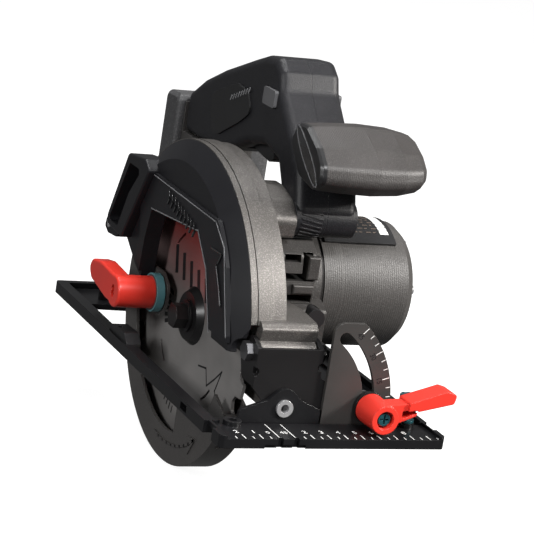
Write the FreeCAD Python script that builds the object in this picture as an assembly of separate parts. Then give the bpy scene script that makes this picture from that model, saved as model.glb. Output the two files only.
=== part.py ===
"""Cordless circular saw, blade on the left: every physical piece is one node.

Frame, in millimetres: the origin lies on the sole of the shoe, in the blade's
plane, straight under the arbor. +X runs from the blade to the motor, -Y is
the cutting direction and +Z is up.
"""
import os
import math
import FreeCAD, Part
from FreeCAD import Vector as V

# ---- driving dimensions -------------------------------------------------
ARBOR_Z = 30.0                    # arbor axis above the sole
BLADE_R = 82.5                    # 165 mm blade
BLADE_T = 1.8
SHOE_X = (-35.0, 99.0)
SHOE_Y = (-136.0, 142.0)
PLATE_T = 3.4                     # main plate of the shoe
STRIP_T = 5.3                     # scale strip along the front edge
RIM_T = 7.0                       # raised rim round the shoe
SLOT_X = (-28.0, 24.0)            # blade opening of the shoe
SLOT_Y = (-98.0, 105.0)
BEVEL_X, BEVEL_Z = 11.0, 13.8     # bevel axis, along Y
DEPTH_Y, DEPTH_Z = -97.5, 41.5    # depth axis, along X
STUD_R = 50.0                     # bevel clamp stud from the bevel axis
STUD_A = 2.0                      # its angle when the saw stands square
QUAD_R = 63.6                     # outer edge of the bevel quadrant
LG_R = 86.5                       # lower guard, outside
RIM_R = 102.0                     # upper guard, outside
MOTOR_Y, MOTOR_Z = -6.0, 55.6     # motor axis, along X
MOTOR_R = 37.0
GEAR_R, PINION_R = 20.3, 5.6      # tip radii of the two gears
HANDLE_X = (28.0, 66.0)
HANDLE_MID = 47.0
GUIDE_R = 160.0                   # depth guide slot from the depth axis
SHEET = 2.5                       # pressed steel brackets
GAP = 0.3                         # between bodies that pass each other

NODES = {}
EX, EY, EZ = V(1, 0, 0), V(0, 1, 0), V(0, 0, 1)


# ---- small shape helpers ------------------------------------------------
def add(name, shape):
    """Keep a finished solid, or a group of separate solids, as a node."""
    solids = shape.removeSplitter().Solids
    NODES[name] = solids[0] if len(solids) == 1 else Part.makeCompound(solids)


def box(x, y, z):
    return Part.makeBox(x[1] - x[0], y[1] - y[0], z[1] - z[0], V(x[0], y[0], z[0]))


def cyl_x(x, y, z, r):
    return Part.makeCylinder(r, x[1] - x[0], V(x[0], y, z), EX)


def cyl_y(y, x, z, r):
    return Part.makeCylinder(r, y[1] - y[0], V(x, y[0], z), EY)


def cyl_z(z, x, y, r):
    return Part.makeCylinder(r, z[1] - z[0], V(x, y, z[0]), EZ)


def ring_x(x, y, z, r_in, r_out):
    return cyl_x(x, y, z, r_out).cut(cyl_x((x[0] - 1, x[1] + 1), y, z, r_in))


def ring_y(y, x, z, r_in, r_out):
    return cyl_y(y, x, z, r_out).cut(cyl_y((y[0] - 1, y[1] + 1), x, z, r_in))


def cone_x(x, y, z, r0, r1):
    return Part.makeCone(r0, r1, x[1] - x[0], V(x[0], y, z), EX)


def hex_x(x, y, z, across):
    r = across / math.sqrt(3)
    pts = [V(x[0], y + r * math.cos(k * math.pi / 3), z + r * math.sin(k * math.pi / 3))
           for k in range(7)]
    return Part.Face(Part.makePolygon(pts)).extrude(V(x[1] - x[0], 0, 0))


def rounded_wire(pts, radius):
    """Closed polygon with every corner rounded; radius is one value or a list."""
    radii = radius if isinstance(radius, (list, tuple)) else [radius] * len(pts)
    edges, starts, ends, mids = [], [], [], []
    count = len(pts)
    for i, p in enumerate(pts):
        a = (pts[i - 1] - p).normalize()
        b = (pts[(i + 1) % count] - p).normalize()
        half = math.acos(max(-1, min(1, a.dot(b)))) / 2
        reach = radii[i] / math.tan(half) if radii[i] else 0
        starts.append(p + a * reach)
        ends.append(p + b * reach)
        mids.append(p + (a + b).normalize() * (radii[i] / math.sin(half) - radii[i])
                    if radii[i] else p)
    for i in range(count):
        if radii[i]:
            edges.append(Part.Arc(starts[i], mids[i], ends[i]).toShape())
        nxt = (i + 1) % count
        if ends[i].distanceToPoint(starts[nxt]) > 1e-4:
            edges.append(Part.makeLine(ends[i], starts[nxt]))
    return Part.Wire(Part.__sortEdges__(edges))


def prism_x(x, yz, radius=0):
    pts = [V(x[0], y, z) for y, z in yz]
    return Part.Face(rounded_wire(pts, radius)).extrude(V(x[1] - x[0], 0, 0))


def prism_y(y, xz, radius=0):
    pts = [V(px, y[0], z) for px, z in xz]
    return Part.Face(rounded_wire(pts, radius)).extrude(V(0, y[1] - y[0], 0))


def prism_z(z, xy, radius=0):
    pts = [V(px, py, z[0]) for px, py in xy]
    return Part.Face(rounded_wire(pts, radius)).extrude(V(0, 0, z[1] - z[0]))


def sector_face(point, r_in, r_out, a0, a1):
    """Ring sector from angle a0 to a1 in degrees; point(r, a) gives a place."""
    am = (a0 + a1) / 2
    edges = [Part.Arc(point(r_out, a0), point(r_out, am), point(r_out, a1)).toShape(),
             Part.makeLine(point(r_out, a1), point(r_in, a1)),
             Part.Arc(point(r_in, a1), point(r_in, am), point(r_in, a0)).toShape(),
             Part.makeLine(point(r_in, a0), point(r_out, a0))]
    return Part.Face(Part.Wire(edges))


def sector_x(x, r_in, r_out, a0, a1, centre=(0.0, ARBOR_Z)):
    """Ring sector round an axis along X; angles from +Y towards +Z."""
    def point(r, a):
        t = math.radians(a)
        return V(x[0], centre[0] + r * math.cos(t), centre[1] + r * math.sin(t))
    return sector_face(point, r_in, r_out, a0, a1).extrude(V(x[1] - x[0], 0, 0))


def sector_y(y, r_in, r_out, a0, a1):
    """Ring sector round the bevel axis; angles from +X towards +Z."""
    def point(r, a):
        t = math.radians(a)
        return V(BEVEL_X + r * math.cos(t), y[0], BEVEL_Z + r * math.sin(t))
    return sector_face(point, r_in, r_out, a0, a1).extrude(V(0, y[1] - y[0], 0))


def soften(shape, radius, keep):
    """Round the edges that keep(edge) picks, or leave them if that fails."""
    edges = [e for e in shape.Edges if keep(e)]
    for r in (radius, radius * 0.6, radius * 0.3):
        try:
            out = shape.makeFillet(r, edges)
            if out.isValid() and out.Solids:
                return out
        except Part.OCCError:
            continue
    return shape


def at_x(value):
    """Picks edges that lie wholly in the plane X = value."""
    def keep(e):
        b = e.BoundBox
        return abs(b.XMin - value) < 0.01 and abs(b.XMax - value) < 0.01
    return keep


HEAD_H = 2.0                      # height of a pan head


def screw_x(x_seat, way, y, z, r_head, r_shank, length):
    """Pan-head screw that goes way (+1 or -1) along X, head seated at x_seat."""
    head = Part.makeCylinder(r_head, HEAD_H, V(x_seat, y, z), EX * -way)
    shank = Part.makeCylinder(r_shank, length, V(x_seat, y, z), EX * way)
    screw = head.fuse(shank)
    top = x_seat - way * HEAD_H
    lo, hi = sorted((top, top + way * 1.2))
    for dy, dz in ((r_head * 0.6, 0.45), (0.45, r_head * 0.6)):
        screw = screw.cut(box((lo, hi), (y - dy, y + dy), (z - dz, z + dz)))
    return screw


# ---- shoe ---------------------------------------------------------------
FENCE_X, FENCE_Y = 84.5, -113.6
FENCE_SLOT_Y = (-124.0, -112.2)


def shoe_plate():
    x0, x1 = SHOE_X
    y0, y1 = SHOE_Y
    corner = [(x0, y0), (x1, y0), (x1, y1), (x0, y1)]
    rim_in = [(x0 + 7, y0 + 24), (x1 - 3, y0 + 24), (x1 - 3, y1 - 5), (x0 + 7, y1 - 5)]
    plate = prism_z((0, RIM_T), corner, 3)
    plate = plate.cut(prism_z((PLATE_T, RIM_T + 1), rim_in, 2))
    strip_y = (y0 - 1, y0 + 24)
    plate = plate.cut(box((x0 + 4, x1 - 3), strip_y, (STRIP_T, RIM_T + 1)))
    opening = [(SLOT_X[0], SLOT_Y[0]), (SLOT_X[1], SLOT_Y[0]),
               (SLOT_X[1], SLOT_Y[1] - 4), (SLOT_X[0], SLOT_Y[1])]
    plate = plate.cut(prism_z((-1, RIM_T + 1), opening, 3))
    plate = plate.cut(box((x0 - 1, x1 + 1), FENCE_SLOT_Y, (-1, 4.3)))
    for side in ((x0 - 1, x0 + 2.5), (x1 - 2, x1 + 1)):
        plate = plate.cut(box(side, FENCE_SLOT_Y, (-1, RIM_T + 1)))
    plate = plate.cut(box((x0 - 1, x0 + 4), (-87, -78), (1.5, 5.5)))
    for px in (0.0, 9.3):                                     # cut line notches
        plate = plate.cut(box((px - 1.6, px + 1.6), (y0 - 1, y0 + 2.5), (-1, RIM_T)))
    plate = plate.cut(box((-9, 15), (y0 - 1, y0 + 1.4), (-1, 2.0)))
    for px in (-19.5, FENCE_X):                               # fence screw bosses
        boss = cyl_z((STRIP_T - 0.5, 8.0), px, FENCE_Y, 5.0)
        plate = plate.fuse(boss).cut(cyl_z((4.0, 9), px, FENCE_Y, 2.55))
    for px in (40.0, 62.0, 84.0):                             # stiffening ribs
        plate = plate.fuse(box((px, px + 3), (-60, 128), (PLATE_T - 0.5, PLATE_T + 1.6)))
    return plate


def pivot_lug(y, foot):
    """Upright lug with a round top and a foot bent flat onto the plate."""
    outline = [(-15.0, PLATE_T), (-15.0, 12.5), (1.0, 18.0), (11.0, 27.4), (21.0, 18.0),
               (33.0, 13.0), (33.0, PLATE_T)]
    lug = prism_y(y, outline, [0, 3, 3, 7.5, 3, 3, 0])
    lug = lug.fuse(box((-4, 27), foot, (PLATE_T, PLATE_T + 2.0)))
    return lug.cut(cyl_y((y[0] - 1, y[1] + 1), BEVEL_X, BEVEL_Z, 3.2))


def pivot_rivet(y_head, y_tip):
    """Hollow rivet on the bevel axis."""
    lo, hi = sorted((y_head, y_tip))
    way = 1 if y_tip > y_head else -1
    head = sorted((y_head, y_head + way * 1.5))
    rivet = cyl_y((lo, hi), BEVEL_X, BEVEL_Z, 3.2).fuse(cyl_y(head, BEVEL_X, BEVEL_Z, 4.8))
    return rivet.cut(cyl_y((lo - 1, hi + 1), BEVEL_X, BEVEL_Z, 2.4))


FRONT_LUG_Y = (-111.0, -108.5)
REAR_LUG_Y = (114.0, 116.5)


def bevel_quadrant():
    """Scale plate with the curved slot that the clamp stud runs in."""
    top = 62.5
    plate = sector_y(FRONT_LUG_Y, 20.0, QUAD_R, -9.5, 58.0)
    left = 34.0
    wedge = prism_y(FRONT_LUG_Y, [(left, PLATE_T), (QUAD_R + 8, PLATE_T), (60, 30),
                                  (49, top), (left, top)], [0, 0, 2, 3, 6])
    plate = plate.fuse(wedge)
    plate = plate.cut(box((-60, left), (-112, -107), (-60, 90)))
    plate = plate.cut(box((-60, 110), (-112, -107), (-60, PLATE_T)))
    plate = plate.cut(box((-60, 110), (-112, -107), (top, 90)))
    slot = sector_y((-112, -107), STUD_R - 3.5, STUD_R + 3.5, STUD_A - 1, STUD_A + 51)
    for a in (STUD_A - 1, STUD_A + 51):
        t = math.radians(a)
        slot = slot.fuse(cyl_y((-112, -107), BEVEL_X + STUD_R * math.cos(t),
                               BEVEL_Z + STUD_R * math.sin(t), 3.5))
    plate = plate.cut(slot)
    foot = box((36, 73), (FRONT_LUG_Y[1] - 0.1, -98), (PLATE_T, PLATE_T + 2))
    return plate.fuse(foot)


def shoe_rivets():
    places = [(22, -102), (1, -102), (42, -102), (66, -102), (1, 122), (22, 122)]
    return Part.makeCompound([Part.makeCone(2.8, 1.6, 1.2, V(px, py, PLATE_T + 2.0), EZ)
                              for px, py in places])


def rail_block():
    """Ramp block on the left rail, under the guard lever."""
    block = prism_x((-33.6, -24.5), [(14, RIM_T), (44.0, RIM_T), (40.5, 11.5), (20, 12.5)],
                    [0, 0, 2.5, 2.5])
    skirt = box((SLOT_X[0], -24.5), (21, 40), (3.0, RIM_T + 0.2))
    return block.fuse(skirt).cut(cyl_z((9.5, 14), -30.6, 33.0, 1.9))


add("shoe_plate", shoe_plate())
add("pivot_lugs", Part.makeCompound([
    pivot_lug(FRONT_LUG_Y, (FRONT_LUG_Y[1] - 0.1, -98.6)),
    pivot_lug(REAR_LUG_Y, (REAR_LUG_Y[1] - 0.1, 127.0))]))
add("pivot_rivets", Part.makeCompound([
    pivot_rivet(-112.5, -104.4).fuse(ring_y((-105.4, -104.4), BEVEL_X, BEVEL_Z, 2.4, 4.4)),
    pivot_rivet(118.0, 110.4)]))
add("bevel_quadrant", bevel_quadrant())
add("shoe_rivets", shoe_rivets())
add("rail_block", rail_block())


# ---- rip fence clamp ----------------------------------------------------
def fence_thumb_screw():
    """Round fluted knob on a short threaded shaft."""
    shaft = cyl_z((4.5, 20.0), FENCE_X, FENCE_Y, 2.5)
    collar = cyl_z((8.3, 9.8), FENCE_X, FENCE_Y, 4.6)
    knob = cyl_z((15.0, 23.5), FENCE_X, FENCE_Y, 5.4)
    for k in range(8):
        t = math.pi * k / 4
        knob = knob.cut(cyl_z((14, 25), FENCE_X + 6 * math.cos(t), FENCE_Y + 6 * math.sin(t), 1.3))
    return shaft.fuse([collar, knob])


add("fence_thumb_screw", fence_thumb_screw())


# ---- bevel frame: swings about the bevel axis ---------------------------
PLATE_Y = (-108.2, -105.7)        # front plate of the bracket
CHEEKS = ((-8.0, -5.5), (28.5, 31.0))
STUD_X = BEVEL_X + STUD_R * math.cos(math.radians(STUD_A))
STUD_Z = BEVEL_Z + STUD_R * math.sin(math.radians(STUD_A))


def front_bracket():
    outline = [(-8, 46), (-8, 24.2), (4.0, 9.9), (9, 6.2), (13.5, 6.2), (31, 8), (66, 9),
               (69, 22.5), (50, 22.5), (31, 30), (31, 46)]
    plate = prism_y(PLATE_Y, outline, [1, 2, 1, 1, 1, 4, 5, 5, 4, 3, 1])
    for x in CHEEKS:
        cheek = prism_x(x, [(PLATE_Y[0], 46), (PLATE_Y[0], 24.5), (-92, 24.5), (-87.5, 34),
                            (-87.5, 46), (DEPTH_Y, 50.5)], [0, 0, 3, 3, 6, 8])
        plate = plate.fuse(cheek)
    fin = prism_x(CHEEKS[1], [(PLATE_Y[0], 26), (PLATE_Y[0], 9), (-80, 9), (-90, 26)], [0, 0, 2, 2])
    plate = plate.fuse(fin)
    for x, z in ((-8, 33), (31, 36)):                        # notches in the side edges
        plate = plate.cut(cyl_y((-109, -105), x, z, 2.4))
    plate = plate.cut(cyl_x((-20, 50), DEPTH_Y, DEPTH_Z, 3.0))
    plate = plate.cut(cyl_y((-115, -100), BEVEL_X, BEVEL_Z, 3.25))
    return plate.cut(cyl_y((-115, -100), STUD_X, STUD_Z, 3.0))


def depth_pivot_bolt():
    bolt = cyl_x((-9.0, 36.0), DEPTH_Y, DEPTH_Z, 3.0)
    return bolt.fuse(hex_x((-11.6, -8.0), DEPTH_Y, DEPTH_Z, 9.6))


def guide_arc(x, r_in, r_out, a0, a1):
    return sector_x(x, r_in, r_out, a0, a1, (DEPTH_Y, DEPTH_Z))


DEPTH_SWING = 28.0
GUIDE_X = (13.5, 16.0)
GUIDE_A0 = -6.5                   # where the clamp bolt starts in the slot, in degrees


def depth_guide():
    """Rear link: an arc about the depth axis, with a foot on the bevel axis."""
    last = GUIDE_A0 + DEPTH_SWING
    plate = guide_arc(GUIDE_X, GUIDE_R - 9, GUIDE_R + 9, GUIDE_A0 - 4.5, last + 3.2)
    leg = prism_x(GUIDE_X, [(54, 10), (110, 10), (110, 23), (78, 27), (70, 33), (60, 24)],
                  [2, 0, 4, 4, 4, 2])
    flange = prism_y((111.2, 113.7), [(5.5, 7.0), (9, 4.6), (18, 4.6), (18, 22), (12, 25.0),
                                      (4, 18)], [1, 1, 2, 3, 4, 3])
    bridge = box(GUIDE_X, (108, 111.3), (10, 21))
    plate = plate.fuse([leg, bridge, flange])
    slot = guide_arc((13, 17), GUIDE_R - 3.3, GUIDE_R + 3.3, GUIDE_A0 - 0.6, last + 0.6)
    for a in (GUIDE_A0 - 0.6, last + 0.6):
        t = math.radians(a)
        slot = slot.fuse(cyl_x((13, 17), DEPTH_Y + GUIDE_R * math.cos(t),
                               DEPTH_Z + GUIDE_R * math.sin(t), 3.3))
    return plate.cut(slot).cut(cyl_y((105, 120), BEVEL_X, BEVEL_Z, 3.25))


add("front_bracket", front_bracket())
add("depth_pivot_bolt", depth_pivot_bolt())
add("depth_pivot_nut", hex_x((31.0, 35.5), DEPTH_Y, DEPTH_Z, 10).cut(
    cyl_x((30, 37), DEPTH_Y, DEPTH_Z, 3.0)))
add("depth_guide", depth_guide())
add("bevel_stud", cyl_y((-127.0, -104.0), STUD_X, STUD_Z, 3.0).fuse(
    cyl_y((PLATE_Y[1], -102.6), STUD_X, STUD_Z, 6.5)))
add("bevel_washer", ring_y((-114.2, -111.3), STUD_X, STUD_Z, 3.0, 9.0))


# ---- bevel clamp lever --------------------------------------------------
LEVER_Y = (-134.0, -114.5)


def bevel_lever():
    length = LEVER_Y[1] - LEVER_Y[0]
    hub = Part.makeCone(8.0, 8.6, length, V(STUD_X, LEVER_Y[0], STUD_Z), EY)
    neck = prism_y((-131.5, -121.5), [(STUD_X, STUD_Z - 6), (STUD_X + 20, STUD_Z + 2),
                                      (STUD_X + 20, STUD_Z + 9), (STUD_X, STUD_Z + 7.6)],
                   [2, 2, 2, 2])
    paddle = prism_y((-133.0, -119.6), [(STUD_X + 14, STUD_Z + 3.5), (STUD_X + 41, STUD_Z + 9.5),
                                        (STUD_X + 42, STUD_Z + 15), (STUD_X + 36, STUD_Z + 16.5),
                                        (STUD_X + 14, STUD_Z + 9.5)], [1, 2, 2, 2, 1])
    lever = hub.fuse([neck, paddle])
    lever = lever.cut(prism_y((-134.5, -124.5), [(STUD_X + 11, STUD_Z), (STUD_X + 21, STUD_Z + 4),
                                                 (STUD_X + 19, STUD_Z + 5.6),
                                                 (STUD_X + 11, STUD_Z + 4.5)], 0.7))
    lever = lever.cut(cyl_y((LEVER_Y[0] - 1, -129.5), STUD_X, STUD_Z, 5.0))
    lever = lever.cut(cyl_y((-130, -113), STUD_X, STUD_Z, 3.05))
    return lever


def bevel_lever_screw():
    head = cyl_y((-132.4, -129.8), STUD_X, STUD_Z, 3.6)
    head = head.fuse(cyl_y((-130, -127.0), STUD_X, STUD_Z, 2.9))
    for dx, dz in ((2.6, 0.55), (0.55, 2.6)):
        head = head.cut(box((STUD_X - dx, STUD_X + dx), (-133, -131), (STUD_Z - dz, STUD_Z + dz)))
    return head


add("bevel_lever", bevel_lever())
add("bevel_lever_screw", bevel_lever_screw())


# ---- upper guard and its cover ------------------------------------------
RIM_A = (13.0, 165.2)             # the rim runs from the rear over the top to the front
GUIDE_T = math.radians(GUIDE_A0)
CLAMP_Y = DEPTH_Y + GUIDE_R * math.cos(GUIDE_T)
CLAMP_Z = DEPTH_Z + GUIDE_R * math.sin(GUIDE_T)


def upper_guard():
    """Cast guard: rim, inner wall, bearing collar and the front foot."""
    rim = sector_x((-6.0, 3.0), RIM_R - 3, RIM_R, *RIM_A)
    rim = rim.fuse(sector_x((3.0, 11.0), RIM_R - 4, RIM_R - 1.2, *RIM_A))
    wall = cyl_x((8.6, 11.0), 0, ARBOR_Z, RIM_R - 1.5).common(
        box((8, 12), (-110, 110), (5.8, 140)))
    foot = prism_x((-5.0, 28.0), [(-101.2, 47.6), (-103.4, 55), (-100, 58.5), (-78, 60),
                                  (-56, 58), (-56, 48), (-88, 47.6)], [1.5, 2, 3, 4, 1, 1, 2])
    hub = cyl_x((-5.0, 28.0), DEPTH_Y, DEPTH_Z, 7.8)
    arm = prism_x((9.0, 28.0), [(-54, 93), (-56, 104), (-46, 113), (-30, 117.5), (-18, 117.5),
                                (-14, 93)], [2, 6, 6, 3, 3, 2])
    collar = ring_x((3.4, 9.0), 0, ARBOR_Z, 17.4, 21.0)
    guard = rim.fuse([wall, foot, hub, arm, collar])
    guard = guard.cut(ring_x((-12, 8.6), 0, ARBOR_Z, 21.2, 91.5))
    guard = guard.cut(cyl_x((-12, 3.4), 0, ARBOR_Z, 22))
    guard = guard.cut(cyl_x((-12, 12), 0, ARBOR_Z, 17.4))
    guard = guard.cut(cyl_x((-20, 50), DEPTH_Y, DEPTH_Z, 3.06))
    return guard.cut(cyl_x((5, 12), CLAMP_Y, CLAMP_Z, 3.0))


COVER_X = (-18.0, -10.0)
WINDOW = [(46.5, 30), (43.5, 64), (39, 82), (-32, 88.5), (-50.5, 72), (-66, 41), (-70, 30)]


def guard_cover():
    """Dished plastic cover: flat face, bevelled band and the blade window."""
    band = cone_x(COVER_X, 0, ARBOR_Z, 89.5, RIM_R - 0.8)
    body = band.common(prism_x((-19, -9), [(-110, 57), (-99.6, 57), (-91.5, 38.5), (45, 38.5),
                                            (58, 44), (95, 66), (95, 140), (-110, 140)]))
    border = prism_x((-20.0, -17.5), [(-72.3, 91.4), (-57, 102), (66, 103.5), (60, 90), (52, 64),
                                      (54, 47), (47, 43), (-92, 43)], [3, 2, 1, 2, 8, 3, 2, 1])
    body = body.fuse(border.common(cyl_x((-21, -17), 0, ARBOR_Z, 92)))
    hollow = cone_x((-15.5, -10.1), 0, ARBOR_Z, 87.5, 97.0)
    frame = prism_x((-16, -9), WINDOW, 3)
    wide = prism_x((-16, -9), [(50.0, 30), (47, 66), (42, 85.5), (-33.5, 92), (-54, 74),
                               (-69.5, 42), (-74, 30)], 3)
    body = body.cut(hollow.cut(wide.cut(frame)))
    body = body.cut(prism_x((-22, -9), WINDOW, [0, 3, 3, 3, 3, 3, 0]))
    body = body.cut(prism_x((-26, -9), CHUTE_OUT, CHUTE_RADII))
    return body.cut(cyl_x((-22, -9), DEPTH_Y, DEPTH_Z, 6.4))


CHUTE_OUT = [(40.5, 104.5), (49.5, 109.5), (76, 106.5), (97, 63), (95, 57.5), (70, 56), (63, 68)]
CHUTE_RADII = [2, 3, 4, 3, 2, 2, 6]
CHUTE_TAB = [(90, 66), (91, 50), (108, 48.5), (114.5, 51.5), (113, 57), (97, 66)]
CHUTE_SCREW = (104.0, 55.5)
CHUTE_HOLE = [(55, 98), (56, 101.5), (71.5, 101.5), (92.5, 63), (91, 61), (78, 61), (67, 84)]


def dust_chute():
    """Chip outlet duct at the rear of the cover, open to the left."""
    duct = prism_x((-24.5, COVER_X[1]), CHUTE_OUT, CHUTE_RADII)
    duct = soften(duct, 1.2, at_x(-24.5))
    tab = prism_x((-18.0, COVER_X[1]), CHUTE_TAB, [1, 4, 4, 2, 3, 4])
    duct = duct.fuse(tab).cut(prism_x((-26, -9), CHUTE_HOLE, [1.5, 2, 2, 2, 1.5, 2, 3]))
    return duct.cut(cyl_x((-26, -11), *CHUTE_SCREW, 1.2))


add("upper_guard", upper_guard())
add("guard_side_ring", sector_x((-10.0, -6.4), RIM_R - 9, RIM_R - 0.3, RIM_A[0] + 6, RIM_A[1]).fuse(
    sector_x((-6.4, -6.0), RIM_R - 6, RIM_R - 1.6, RIM_A[0] + 6, RIM_A[1])))
add("guard_cover", guard_cover())
add("dust_chute", dust_chute())
add("chute_screw", screw_x(-18.0, 1, *CHUTE_SCREW, 2.6, 1.2, 7.0))


# ---- lower guard: turns about the arbor ---------------------------------
LG_LEFT, LG_RIGHT = (-9.0, -7.2), (5.6, 7.4)
LG_A = (-158.0, 10.0)             # closed: front end to rear end
LEVER_AT = (35.0, 33.0)           # guard lever axis, along X
BOSS_X = -15.0                    # outer face of the boss the lever is screwed to
COLLAR_R = 21.0


def lower_guard():
    a0, a1 = LG_A
    left = sector_x(LG_LEFT, 68.0, LG_R, a0, a1)
    chin = prism_x(LG_LEFT, [(-15, -12), (-15, -52), (-50, -50), (-74, -22), (-66, -12)],
                   [6, 0, 0, 0, 8]).common(cyl_x((-10, -7), 0, ARBOR_Z, LG_R - 1))
    lobe = prism_x(LG_LEFT, [(35, 46), (24, 40), (24, 26), (35, 19), (84, 22), (84, 44)],
                   [4, 6, 6, 6, 0, 0])
    rim = sector_x((LG_LEFT[0], LG_RIGHT[1]), LG_R - 2.0, LG_R, a0, a1)
    right = sector_x(LG_RIGHT, 25.0, LG_R, a0, a1).fuse(
        ring_x(LG_RIGHT, 0, ARBOR_Z, COLLAR_R + 2.6, 31.0))
    tail = prism_x((-4.9, 6.0), [(79, 44), (84.6, 32), (88, 33), (88, 46), (82, 50)],
                   [1, 0, 2, 2, 2]).cut(cyl_x((-6, 7), 0, ARBOR_Z, LG_R - 1.9))
    boss = cyl_x((BOSS_X, LG_LEFT[0]), *LEVER_AT, 10.5)
    guard = left.fuse([chin, lobe, rim, right, tail, boss])
    teeth = [sector_x((-4.0, 4.0), LG_R - 0.3, LG_R + 0.9, a, a + 1.4)
             for a in range(-156, -136, 4)]
    return guard.fuse(teeth).cut(cyl_x((BOSS_X - 1, LG_LEFT[1] + 1), *LEVER_AT, 2.0))


def guard_lever():
    """Red thumb lever that stands out sideways from the guard."""
    y, z = LEVER_AT
    hub = cyl_x((-38.5, BOSS_X), y, z, 9.6)
    wing = prism_x((-38.5, -29.0), [(y - 3, z + 9), (y + 26, z + 10.5), (y + 40, z + 8),
                                    (y + 44, z + 2), (y + 38, z - 4), (y + 12, z - 8),
                                    (y - 2, z - 8)], [3, 8, 5, 5, 5, 8, 3])
    lever = soften(hub.fuse(wing).removeSplitter(), 1.6, at_x(-38.5))
    hole = cyl_x((-40, -22), y, z - 1.6, 2.2).fuse(cyl_x((-40, -22), y, z + 1.6, 2.2))
    return lever.cut(hole).cut(cyl_x((-21.2, BOSS_X + 1), y, z, 2.0))


def guard_lever_screw():
    y, z = LEVER_AT
    return cyl_x((-21.0, -5.4), y, z, 2.0).fuse(cyl_x((LG_LEFT[1], -5.4), y, z, 4.0))


add("guard_bearing_ring", ring_x((5.0, 8.2), 0, ARBOR_Z, COLLAR_R + 0.06, COLLAR_R + 2.54))
add("lower_guard", lower_guard())
add("guard_lever", guard_lever())
add("guard_lever_screw", guard_lever_screw())
add("guard_spring", ring_x((7.8, 8.6), 0, ARBOR_Z, 26.0, 28.0))


# ---- blade and spindle --------------------------------------------------
def blade():
    teeth = 24
    disc = cyl_x((-BLADE_T / 2, BLADE_T / 2), 0, ARBOR_Z, BLADE_R - 0.1)
    gullets = []
    for k in range(teeth):
        a = 360.0 / teeth * k
        pts = []
        for r, da in ((84.5, 1.2), (82.4, 1.0), (76.5, 2.6), (74.6, 6.2), (77.5, 9.6),
                      (84.5, 10.2)):
            t = math.radians(a + da)
            pts.append((r * math.cos(t), ARBOR_Z + r * math.sin(t)))
        gullets.append(prism_x((-2, 2), pts, [0, 0, 1, 2.4, 2.4, 0]))
    disc = disc.cut(gullets[0].multiFuse(gullets[1:]))
    slots = []
    for k in range(4):
        a = 40 + 90 * k
        slots.append(sector_x((-2, 2), 49.0, 50.6, a, a + 16))
    return disc.cut(slots[0].multiFuse(slots[1:])).cut(cyl_x((-2, 2), 0, ARBOR_Z, 10.0))


def spindle():
    half = BLADE_T / 2
    shaft = cyl_x((-half, 43.0), 0, ARBOR_Z, 7.5).fuse(cyl_x((half, 9.0), 0, ARBOR_Z, 9.0))
    return shaft.fuse(cyl_x((-half, half), 0, ARBOR_Z, 10.0)).cut(
        cyl_x((-2, 17), 0, ARBOR_Z, 4.0))


def drive_gear():
    wheel = cyl_x((22.0, 31.0), 0, ARBOR_Z, GEAR_R)
    count = 40
    cuts = []
    for k in range(count):
        t = 2 * math.pi * k / count
        y, z = (GEAR_R + 0.5) * math.cos(t), ARBOR_Z + (GEAR_R + 0.5) * math.sin(t)
        cuts.append(cyl_x((21, 32), y, z, 1.1))
    return wheel.cut(cuts[0].multiFuse(cuts[1:])).cut(cyl_x((21, 32), 0, ARBOR_Z, 7.5))


add("saw_blade", blade())
add("inner_flange", cone_x((BLADE_T / 2, 4.9), 0, ARBOR_Z, 16.4, 15.4).cut(
    cyl_x((0, 6), 0, ARBOR_Z, 9.0)))
add("outer_flange", cone_x((-4.9, -BLADE_T / 2), 0, ARBOR_Z, 14.0, 17.0).cut(
    cyl_x((-6, 0), 0, ARBOR_Z, 4.0)))
add("blade_bolt", hex_x((-14.0, -6.2), 0, ARBOR_Z, 13).fuse(
    [cyl_x((-6.4, -4.9), 0, ARBOR_Z, 9.5), cyl_x((-4.95, 16.9), 0, ARBOR_Z, 4.0)]))
add("spindle_shaft", spindle())
add("drive_gear", drive_gear())


# ---- gear case and motor ------------------------------------------------
CASE_X = (11.0, 58.0)
CASE_R = MOTOR_R - 0.6
EAR_R, EAR_A = 40.5, (-100, 50, -55)
CAP_SCREW_R, CAP_SCREW_A = 28.5, (110, 170, 230, 350, 50)
SPINDLE_LOCK = (44.0, 50.5)


def round_motor(r, angles):
    """Places (y, z) on a circle round the motor axis."""
    return [(MOTOR_Y + r * math.cos(math.radians(a)), MOTOR_Z + r * math.sin(math.radians(a)))
            for a in angles]


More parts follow.
